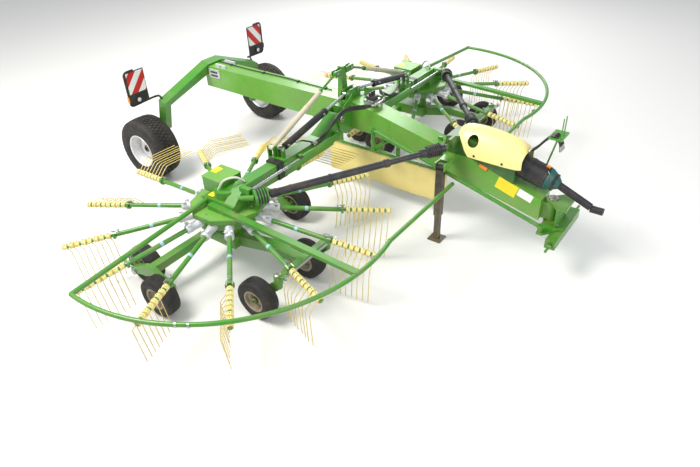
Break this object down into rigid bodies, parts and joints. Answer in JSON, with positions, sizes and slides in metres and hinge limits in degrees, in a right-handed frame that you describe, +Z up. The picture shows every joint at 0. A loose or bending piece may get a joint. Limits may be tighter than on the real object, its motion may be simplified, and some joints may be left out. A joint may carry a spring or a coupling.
{
  "type": "twin rotor hay rake",
  "caption": "Towed centre-delivery hay rake with two tined rotors on lifting telescopic arms, a steered rear axle and a gooseneck frame.",
  "frame": {"origin": "centre of the base, on the floor under the middle of the machine's box", "axes": "+X forwards to the tractor, +Y to the left across both rotors, +Z up"},
  "size_m": [6.1249, 7.685, 1.655],
  "materials": {
    "green_paint": "gloss",
    "pale_green_paint": "gloss",
    "hood_plastic": "semi-gloss",
    "canvas": "coated woven",
    "black_plastic": "matt",
    "black_paint": "semi-gloss",
    "dark_steel": "matt",
    "bright_steel": "satin",
    "chrome_rod": "polished",
    "tine_wire": "worn",
    "tyre": "rubber"
  },
  "bodies": {
    "frame": {"main_beam": "pale_green_paint", "centre_console": "green_paint", "rear_axle": "pale_green_paint", "hood": "hood_plastic", "gearbox": "green_paint", "curtain_rail": "green_paint", "curtain": "canvas", "warning_boards": "black_plastic", "hose_holder": "green_paint", "input_shaft": "black_plastic"},
    "headstock": {"headstock": "green_paint"},
    "steering_rod": {"steering_rod": "green_paint"},
    "relay_lever": {"relay_lever": "green_paint"},
    "parking_jack": {"parking_jack": "dark_steel"},
    "knuckle_left": {"knuckle_left": "green_paint"},
    "rear_wheel_left": {"rear_wheel_left": "tyre"},
    "swing_arm_left": {"swing_arm_left": "green_paint"},
    "lift_barrel_left": {"lift_barrel_left": "black_paint"},
    "lift_rod_left": {"lift_rod_left": "chrome_rod"},
    "strut_tube_left": {"strut_tube_left": "hood_plastic"},
    "strut_rod_left": {"strut_rod_left": "green_paint"},
    "shaft_tube_left": {"shaft_tube_left": "black_plastic"},
    "shaft_sleeve_left": {"shaft_sleeve_left": "black_plastic"},
    "tandem_wheel_a_left": {"tandem_wheel_a_left": "tyre"},
    "tandem_wheel_b_left": {"tandem_wheel_b_left": "tyre"},
    "tandem_wheel_c_left": {"tandem_wheel_c_left": "tyre"},
    "tandem_wheel_d_left": {"tandem_wheel_d_left": "tyre"},
    "castor_inner_left": {"castor_inner_left": "green_paint"},
    "castor_outer_left": {"castor_outer_left": "green_paint"},
    "castor_wheel_inner_left": {"castor_wheel_inner_left": "tyre"},
    "castor_wheel_outer_left": {"castor_wheel_outer_left": "tyre"},
    "tie_rod_left": {"tie_rod_left": "bright_steel"},
    "rotor_head_left": {"rotor_head_left": "green_paint", "running_gear_left": "green_paint", "guard_hoop_left": "green_paint"},
    "rotor_left": {"rotor_arms_left": "green_paint", "tines_left": "tine_wire"},
    "knuckle_right": {"knuckle_right": "green_paint"},
    "rear_wheel_right": {"rear_wheel_right": "tyre"},
    "swing_arm_right": {"swing_arm_right": "green_paint"},
    "lift_barrel_right": {"lift_barrel_right": "black_paint"},
    "lift_rod_right": {"lift_rod_right": "chrome_rod"},
    "strut_tube_right": {"strut_tube_right": "hood_plastic"},
    "strut_rod_right": {"strut_rod_right": "green_paint"},
    "shaft_tube_right": {"shaft_tube_right": "black_plastic"},
    "shaft_sleeve_right": {"shaft_sleeve_right": "black_plastic"},
    "tandem_wheel_a_right": {"tandem_wheel_a_right": "tyre"},
    "tandem_wheel_b_right": {"tandem_wheel_b_right": "tyre"},
    "tandem_wheel_c_right": {"tandem_wheel_c_right": "tyre"},
    "tandem_wheel_d_right": {"tandem_wheel_d_right": "tyre"},
    "castor_inner_right": {"castor_inner_right": "green_paint"},
    "castor_outer_right": {"castor_outer_right": "green_paint"},
    "castor_wheel_inner_right": {"castor_wheel_inner_right": "tyre"},
    "castor_wheel_outer_right": {"castor_wheel_outer_right": "tyre"},
    "tie_rod_right": {"tie_rod_right": "bright_steel"},
    "rotor_head_right": {"rotor_head_right": "green_paint", "running_gear_right": "green_paint", "guard_hoop_right": "green_paint"},
    "rotor_right": {"rotor_arms_right": "green_paint", "tines_right": "tine_wire"}
  },
  "joints": [
    {"name": "headstock_steer", "type": "hinge", "parent": "frame", "child": "headstock", "pos_m": [2.5525, 0, 0.58], "axis": [0, 0, 1], "range_deg": [-55, 55]},
    {"name": "steering_rod_pivot", "type": "hinge", "parent": "headstock", "child": "steering_rod", "pos_m": [2.5525, -0.3, 0.53], "axis": [0, 0, 1], "range_deg": [-56, 56]},
    {"name": "relay_lever_pivot", "type": "hinge", "parent": "frame", "child": "relay_lever", "pos_m": [0.4625, 0, 0.88], "axis": [0, 0, 1], "range_deg": [-56, 56]},
    {"name": "jack_fold", "type": "hinge", "parent": "frame", "child": "parking_jack", "pos_m": [1.4125, -0.4, 0.95], "axis": [-1, 0, 0], "range_deg": [0, 90]},
    {"name": "knuckle_steer_left", "type": "hinge", "parent": "frame", "child": "knuckle_left", "pos_m": [-2.6375, 0.86, 0.6], "axis": [0, 0, 1], "range_deg": [-19, 19]},
    {"name": "rear_wheel_spin_left", "type": "hinge", "parent": "knuckle_left", "child": "rear_wheel_left", "pos_m": [-2.6375, 1.17, 0.425], "axis": [0, 1, 0], "continuous": true},
    {"name": "arm_lift_left", "type": "hinge", "parent": "frame", "child": "swing_arm_left", "pos_m": [-0.0675, 0.33, 1.15], "axis": [1, 0, 0], "range_deg": [0, 70]},
    {"name": "lift_barrel_pivot_left", "type": "hinge", "parent": "swing_arm_left", "child": "lift_barrel_left", "pos_m": [-0.0675, 1.3, 1.14], "axis": [-1, 0, 0], "range_deg": [0, 11.39]},
    {"name": "lift_rod_slide_left", "type": "slide", "parent": "lift_barrel_left", "child": "lift_rod_left", "axis": [0, 0.9836, -0.1803], "range_m": [0, 0.3023]},
    {"name": "strut_tube_pivot_left", "type": "hinge", "parent": "swing_arm_left", "child": "strut_tube_left", "pos_m": [-0.1675, 1.33, 1.15], "axis": [-1, 0, 0], "range_deg": [0, 11.23]},
    {"name": "strut_rod_slide_left", "type": "slide", "parent": "strut_tube_left", "child": "strut_rod_left", "axis": [0, 0.9354, -0.3537], "range_m": [0, 0.539]},
    {"name": "head_slide_left", "type": "slide", "parent": "swing_arm_left", "child": "rotor_head_left", "axis": [0, 1, 0], "range_m": [0, 0.6]},
    {"name": "shaft_swing_left", "type": "hinge", "parent": "swing_arm_left", "child": "shaft_tube_left", "pos_m": [1.4225, 0.33, 1.15], "axis": [0.1391, 0, -0.9903], "range_deg": [0, 8.92]},
    {"name": "shaft_slide_left", "type": "slide", "parent": "shaft_tube_left", "child": "shaft_sleeve_left", "axis": [-0.5963, 0.7984, -0.0838], "range_m": [0, 0.5036]},
    {"name": "rotor_turn_left", "type": "hinge", "parent": "rotor_head_left", "child": "rotor_left", "pos_m": [-0.2375, 2, 0.7], "axis": [0, 0, 1], "continuous": true},
    {"name": "tandem_spin_a_left", "type": "hinge", "parent": "rotor_head_left", "child": "tandem_wheel_a_left", "pos_m": [-0.8175, 2.77, 0.22], "axis": [0, 1, 0], "continuous": true},
    {"name": "tandem_spin_b_left", "type": "hinge", "parent": "rotor_head_left", "child": "tandem_wheel_b_left", "pos_m": [-0.2675, 3.04, 0.22], "axis": [0, 1, 0], "continuous": true},
    {"name": "tandem_spin_c_left", "type": "hinge", "parent": "rotor_head_left", "child": "tandem_wheel_c_left", "pos_m": [-0.8175, 1.23, 0.22], "axis": [0, 1, 0], "continuous": true},
    {"name": "tandem_spin_d_left", "type": "hinge", "parent": "rotor_head_left", "child": "tandem_wheel_d_left", "pos_m": [-0.2675, 0.96, 0.22], "axis": [0, 1, 0], "continuous": true},
    {"name": "castor_steer_outer_left", "type": "hinge", "parent": "rotor_head_left", "child": "castor_outer_left", "pos_m": [0.7525, 2.385, 0.42], "axis": [0, 0, 1], "range_deg": [-15, 15]},
    {"name": "castor_spin_outer_left", "type": "hinge", "parent": "castor_outer_left", "child": "castor_wheel_outer_left", "pos_m": [0.5775, 2.52, 0.22], "axis": [0, 1, 0], "continuous": true},
    {"name": "castor_steer_inner_left", "type": "hinge", "parent": "rotor_head_left", "child": "castor_inner_left", "pos_m": [0.7525, 1.615, 0.42], "axis": [0, 0, 1], "range_deg": [-15, 15]},
    {"name": "castor_spin_inner_left", "type": "hinge", "parent": "castor_inner_left", "child": "castor_wheel_inner_left", "pos_m": [0.5775, 1.75, 0.22], "axis": [0, 1, 0], "continuous": true},
    {"name": "tie_rod_pivot_left", "type": "hinge", "parent": "castor_outer_left", "child": "tie_rod_left", "pos_m": [0.8625, 2.385, 0.51], "axis": [0, 0, 1], "range_deg": [-16, 16]},
    {"name": "knuckle_steer_right", "type": "hinge", "parent": "frame", "child": "knuckle_right", "pos_m": [-2.6375, -0.86, 0.6], "axis": [0, 0, 1], "range_deg": [-19, 19]},
    {"name": "rear_wheel_spin_right", "type": "hinge", "parent": "knuckle_right", "child": "rear_wheel_right", "pos_m": [-2.6375, -1.17, 0.425], "axis": [0, 1, 0], "continuous": true},
    {"name": "arm_lift_right", "type": "hinge", "parent": "frame", "child": "swing_arm_right", "pos_m": [-0.0675, -0.33, 1.15], "axis": [-1, 0, 0], "range_deg": [0, 70]},
    {"name": "lift_barrel_pivot_right", "type": "hinge", "parent": "swing_arm_right", "child": "lift_barrel_right", "pos_m": [-0.0675, -1.3, 1.14], "axis": [1, 0, 0], "range_deg": [0, 11.39]},
    {"name": "lift_rod_slide_right", "type": "slide", "parent": "lift_barrel_right", "child": "lift_rod_right", "axis": [0, -0.9836, -0.1803], "range_m": [0, 0.3023]},
    {"name": "strut_tube_pivot_right", "type": "hinge", "parent": "swing_arm_right", "child": "strut_tube_right", "pos_m": [-0.1675, -1.33, 1.15], "axis": [1, 0, 0], "range_deg": [0, 11.23]},
    {"name": "strut_rod_slide_right", "type": "slide", "parent": "strut_tube_right", "child": "strut_rod_right", "axis": [0, -0.9354, -0.3537], "range_m": [0, 0.539]},
    {"name": "head_slide_right", "type": "slide", "parent": "swing_arm_right", "child": "rotor_head_right", "axis": [0, -1, 0], "range_m": [0, 0.6]},
    {"name": "shaft_swing_right", "type": "hinge", "parent": "swing_arm_right", "child": "shaft_tube_right", "pos_m": [1.4225, -0.33, 1.15], "axis": [-0.1391, 0, 0.9903], "range_deg": [0, 8.92]},
    {"name": "shaft_slide_right", "type": "slide", "parent": "shaft_tube_right", "child": "shaft_sleeve_right", "axis": [-0.5963, -0.7984, -0.0838], "range_m": [0, 0.5036]},
    {"name": "rotor_turn_right", "type": "hinge", "parent": "rotor_head_right", "child": "rotor_right", "pos_m": [-0.2375, -2, 0.7], "axis": [0, 0, 1], "continuous": true},
    {"name": "tandem_spin_a_right", "type": "hinge", "parent": "rotor_head_right", "child": "tandem_wheel_a_right", "pos_m": [-0.8175, -2.77, 0.22], "axis": [0, 1, 0], "continuous": true},
    {"name": "tandem_spin_b_right", "type": "hinge", "parent": "rotor_head_right", "child": "tandem_wheel_b_right", "pos_m": [-0.2675, -3.04, 0.22], "axis": [0, 1, 0], "continuous": true},
    {"name": "tandem_spin_c_right", "type": "hinge", "parent": "rotor_head_right", "child": "tandem_wheel_c_right", "pos_m": [-0.8175, -1.23, 0.22], "axis": [0, 1, 0], "continuous": true},
    {"name": "tandem_spin_d_right", "type": "hinge", "parent": "rotor_head_right", "child": "tandem_wheel_d_right", "pos_m": [-0.2675, -0.96, 0.22], "axis": [0, 1, 0], "continuous": true},
    {"name": "castor_steer_outer_right", "type": "hinge", "parent": "rotor_head_right", "child": "castor_outer_right", "pos_m": [0.7525, -2.385, 0.42], "axis": [0, 0, 1], "range_deg": [-15, 15]},
    {"name": "castor_spin_outer_right", "type": "hinge", "parent": "castor_outer_right", "child": "castor_wheel_outer_right", "pos_m": [0.5775, -2.52, 0.22], "axis": [0, 1, 0], "continuous": true},
    {"name": "castor_steer_inner_right", "type": "hinge", "parent": "rotor_head_right", "child": "castor_inner_right", "pos_m": [0.7525, -1.615, 0.42], "axis": [0, 0, 1], "range_deg": [-15, 15]},
    {"name": "castor_spin_inner_right", "type": "hinge", "parent": "castor_inner_right", "child": "castor_wheel_inner_right", "pos_m": [0.5775, -1.75, 0.22], "axis": [0, 1, 0], "continuous": true},
    {"name": "tie_rod_pivot_right", "type": "hinge", "parent": "castor_outer_right", "child": "tie_rod_right", "pos_m": [0.8625, -2.385, 0.51], "axis": [0, 0, 1], "range_deg": [-16, 16]}
  ],
  "couplings": [
    {"joint": "steering_rod_pivot", "follows": "headstock_steer", "ratio": -1},
    {"joint": "relay_lever_pivot", "follows": "headstock_steer", "ratio": 1},
    {"joint": "knuckle_steer_left", "follows": "headstock_steer", "ratio": -0.33333},
    {"joint": "lift_barrel_pivot_left", "follows": "arm_lift_left", "ratio": 0.15559},
    {"joint": "lift_rod_slide_left", "follows": "arm_lift_left", "m_per_rad": 0.24337},
    {"joint": "strut_tube_pivot_left", "follows": "arm_lift_left", "ratio": 0.15335},
    {"joint": "strut_rod_slide_left", "follows": "arm_lift_left", "m_per_rad": 0.43711},
    {"joint": "shaft_swing_left", "follows": "head_slide_left", "rad_per_m": 0.25063},
    {"joint": "shaft_slide_left", "follows": "head_slide_left", "ratio": 0.83268},
    {"joint": "castor_steer_inner_left", "follows": "castor_steer_outer_left", "ratio": 1},
    {"joint": "tie_rod_pivot_left", "follows": "castor_steer_outer_left", "ratio": -1},
    {"joint": "knuckle_steer_right", "follows": "headstock_steer", "ratio": -0.33333},
    {"joint": "lift_barrel_pivot_right", "follows": "arm_lift_right", "ratio": 0.15559},
    {"joint": "lift_rod_slide_right", "follows": "arm_lift_right", "m_per_rad": 0.24337},
    {"joint": "strut_tube_pivot_right", "follows": "arm_lift_right", "ratio": 0.15335},
    {"joint": "strut_rod_slide_right", "follows": "arm_lift_right", "m_per_rad": 0.43711},
    {"joint": "shaft_swing_right", "follows": "head_slide_right", "rad_per_m": 0.25063},
    {"joint": "shaft_slide_right", "follows": "head_slide_right", "ratio": 0.83268},
    {"joint": "castor_steer_inner_right", "follows": "castor_steer_outer_right", "ratio": 1},
    {"joint": "tie_rod_pivot_right", "follows": "castor_steer_outer_right", "ratio": -1}
  ]
}
